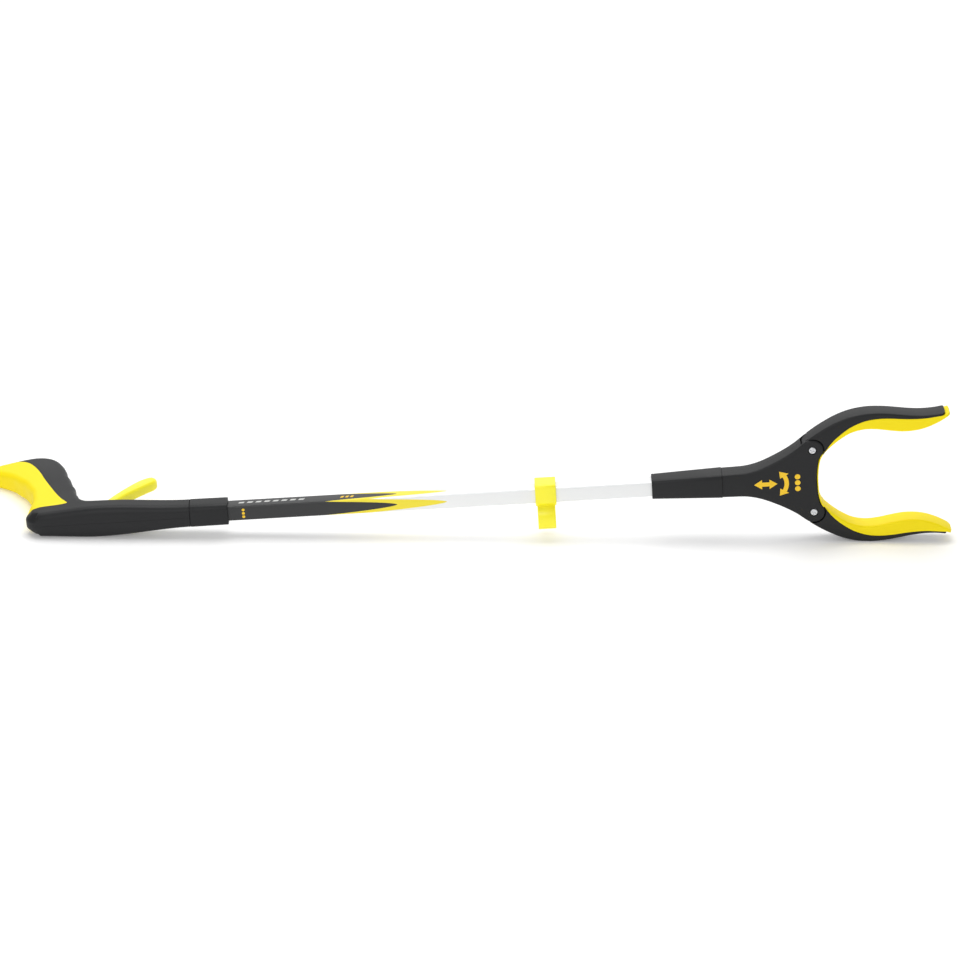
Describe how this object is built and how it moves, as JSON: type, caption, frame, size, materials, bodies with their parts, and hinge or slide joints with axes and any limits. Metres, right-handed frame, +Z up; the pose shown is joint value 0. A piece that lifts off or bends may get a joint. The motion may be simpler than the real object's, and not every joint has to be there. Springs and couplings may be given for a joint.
{
  "type": "reacher grabber",
  "caption": "Long reaching tool: pistol grip with a pull trigger, square metal shaft, tube clip and a turning head whose two curved jaws close together.",
  "frame": {"origin": "on the surface that the object lies on, under the middle of its box", "axes": "+X along the shaft from the handle to the jaws, +Y the way the grip points, +Z up; the shaft rises 3.95 degrees towards the jaws"},
  "size_m": [0.8398, 0.1282, 0.1226],
  "materials": {
    "black_plastic": "fine spark-eroded texture, satin",
    "yellow_rubber": "soft overmoulded rubber, satin",
    "yellow_plastic": "polished moulding, glossy",
    "white_plastic": "natural acetal, satin",
    "aluminium": "satin anodised, printed at both ends",
    "steel": "zinc plated, bright"
  },
  "bodies": {
    "handle": {"handle_shell_left": "black_plastic", "handle_shell_right": "black_plastic", "grip_pad": "yellow_rubber", "handle_collar": "black_plastic", "handle_screw_1": "steel", "handle_screw_2": "steel", "handle_screw_3": "steel", "handle_screw_4": "steel", "collar_screw_rear": "steel", "collar_screw_front": "steel", "trigger_pin": "steel", "return_spring": "steel", "shaft_tube": "aluminium", "rod_guide_rear": "white_plastic", "rod_guide_front": "white_plastic", "head_collar": "black_plastic", "swivel_spring": "steel"},
    "trigger": {"trigger": "yellow_plastic"},
    "rod": {"pull_rod": "steel", "rod_clevis": "steel", "clevis_pin": "steel", "spring_collar": "steel", "rod_button": "steel"},
    "clip": {"shaft_clip": "yellow_plastic"},
    "swivel": {"swivel_spigot": "white_plastic", "retaining_ring": "steel"},
    "head": {"head_shell_front": "black_plastic", "head_shell_back": "black_plastic", "mouth_web": "yellow_rubber", "jaw_screw_upper": "steel", "jaw_screw_lower": "steel", "jaw_nut_upper": "steel", "jaw_nut_lower": "steel"},
    "carriage": {"carriage": "white_plastic"},
    "upper_jaw": {"jaw_arm_upper": "black_plastic", "jaw_pad_upper": "yellow_rubber", "drive_pin_upper": "steel"},
    "lower_jaw": {"jaw_arm_lower": "black_plastic", "jaw_pad_lower": "yellow_rubber", "drive_pin_lower": "steel"}
  },
  "joints": [
    {"name": "trigger_pivot", "type": "hinge", "parent": "handle", "child": "trigger", "pos_m": [-0.31783, -0.05543, 0.01473], "axis": [-0.0689, 0, 0.9976], "range_deg": [0, 36], "stiffness_Nm_per_rad": 0.12, "springref_deg": -22.92},
    {"name": "rod_slide", "type": "slide", "parent": "handle", "child": "rod", "axis": [0.9976, 0, 0.0689], "range_m": [-0.00552, 0.00001], "deforming": ["return_spring"]},
    {"name": "clip_slide", "type": "slide", "parent": "handle", "child": "clip", "axis": [0.9976, 0, 0.0689], "range_m": [-0.264, 0.082]},
    {"name": "head_pull", "type": "slide", "parent": "handle", "child": "swivel", "axis": [0.9976, 0, 0.0689], "range_m": [0, 0.004], "stiffness_N_per_m": 600, "springref_m": -0.012, "deforming": ["swivel_spring"]},
    {"name": "head_turn", "type": "hinge", "parent": "swivel", "child": "head", "pos_m": [0.21889, -0.05093, 0.05179], "axis": [0.9976, 0, 0.0689], "range_deg": [-90, 90]},
    {"name": "carriage_slide", "type": "slide", "parent": "head", "child": "carriage", "axis": [0.9976, 0, 0.0689], "range_m": [-0.00552, 0.00001]},
    {"name": "upper_jaw_swing", "type": "hinge", "parent": "head", "child": "upper_jaw", "pos_m": [0.29569, -0.05093, 0.08636], "axis": [0, 1, 0], "range_deg": [-0.01, 25.05]},
    {"name": "lower_jaw_swing", "type": "hinge", "parent": "head", "child": "lower_jaw", "pos_m": [0.29972, -0.05093, 0.0281], "axis": [0, -1, 0], "range_deg": [-0.01, 25.05]}
  ],
  "couplings": [
    {"joint": "rod_slide", "follows": "trigger_pivot", "m_per_rad": -0.0087535},
    {"joint": "carriage_slide", "follows": "trigger_pivot", "m_per_rad": -0.0087535},
    {"joint": "upper_jaw_swing", "follows": "trigger_pivot", "ratio": 0.69444},
    {"joint": "lower_jaw_swing", "follows": "trigger_pivot", "ratio": 0.69444}
  ]
}
